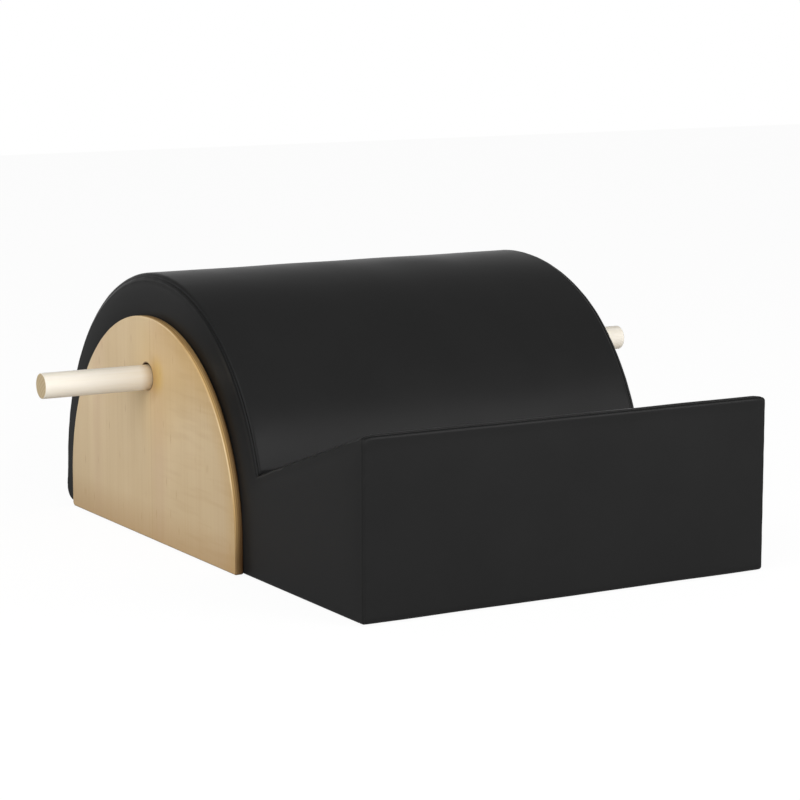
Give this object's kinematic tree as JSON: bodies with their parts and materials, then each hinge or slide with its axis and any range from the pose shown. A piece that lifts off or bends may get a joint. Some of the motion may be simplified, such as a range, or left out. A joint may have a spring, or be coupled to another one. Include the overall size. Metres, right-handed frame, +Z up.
{
  "type": "pilates spine corrector",
  "caption": "Upholstered arch and sloping step on a plywood carcass, with half-round birch end plates and a round bar that slides across through the arch.",
  "frame": {"origin": "on the floor, under the middle of the whole object's box", "axes": "+X along the bar, +Y from the front lip to the back of the arch, +Z up"},
  "size_m": [0.936, 0.898, 0.3679],
  "materials": {
    "vinyl": "black grained upholstery vinyl, satin",
    "foam": "cream upholstery foam, open cell",
    "carcass_ply": "raw plywood",
    "birch_ply": "birch plywood, clear satin lacquer",
    "dowel": "pale beech dowel, smooth sealed",
    "tube": "black extruded plastic tube",
    "rubber": "black moulded rubber",
    "dust_cloth": "black non-woven cloth",
    "zinc": "zinc-plated steel"
  },
  "bodies": {
    "carcass": {"left_plate": "birch_ply", "right_plate": "birch_ply", "bar_tube": "tube", "left_plate_screw_1": "zinc", "left_plate_screw_2": "zinc", "left_plate_screw_3": "zinc", "left_plate_screw_4": "zinc", "right_plate_screw_1": "zinc", "right_plate_screw_2": "zinc", "right_plate_screw_3": "zinc", "right_plate_screw_4": "zinc", "base_screw_1": "zinc", "base_screw_2": "zinc", "base_screw_3": "zinc", "base_screw_4": "zinc", "base_screw_5": "zinc", "base_screw_6": "zinc", "base_screw_7": "zinc", "base_screw_8": "zinc", "lip_rail": "carcass_ply", "valley_rail": "carcass_ply", "front_rail": "carcass_ply", "back_rail": "carcass_ply", "left_end_rib": "carcass_ply", "left_inner_rib": "carcass_ply", "right_inner_rib": "carcass_ply", "right_end_rib": "carcass_ply", "barrel_skin": "carcass_ply", "step_board": "carcass_ply", "front_board": "carcass_ply", "base_board": "carcass_ply", "barrel_foam": "foam", "step_foam": "foam", "front_foam": "foam", "left_side_foam": "foam", "right_side_foam": "foam", "barrel_cover": "vinyl", "step_cover": "vinyl", "front_cover": "vinyl", "left_side_cover": "vinyl", "right_side_cover": "vinyl", "foot_pad_1": "rubber", "foot_pad_2": "rubber", "foot_pad_3": "rubber", "foot_pad_4": "rubber", "dust_cover": "dust_cloth"},
    "bar": {"bar": "dowel"}
  },
  "joints": [
    {"name": "bar_slide", "type": "slide", "parent": "carcass", "child": "bar", "axis": [1, 0, 0], "range_m": [-0.785, 0.785]}
  ]
}
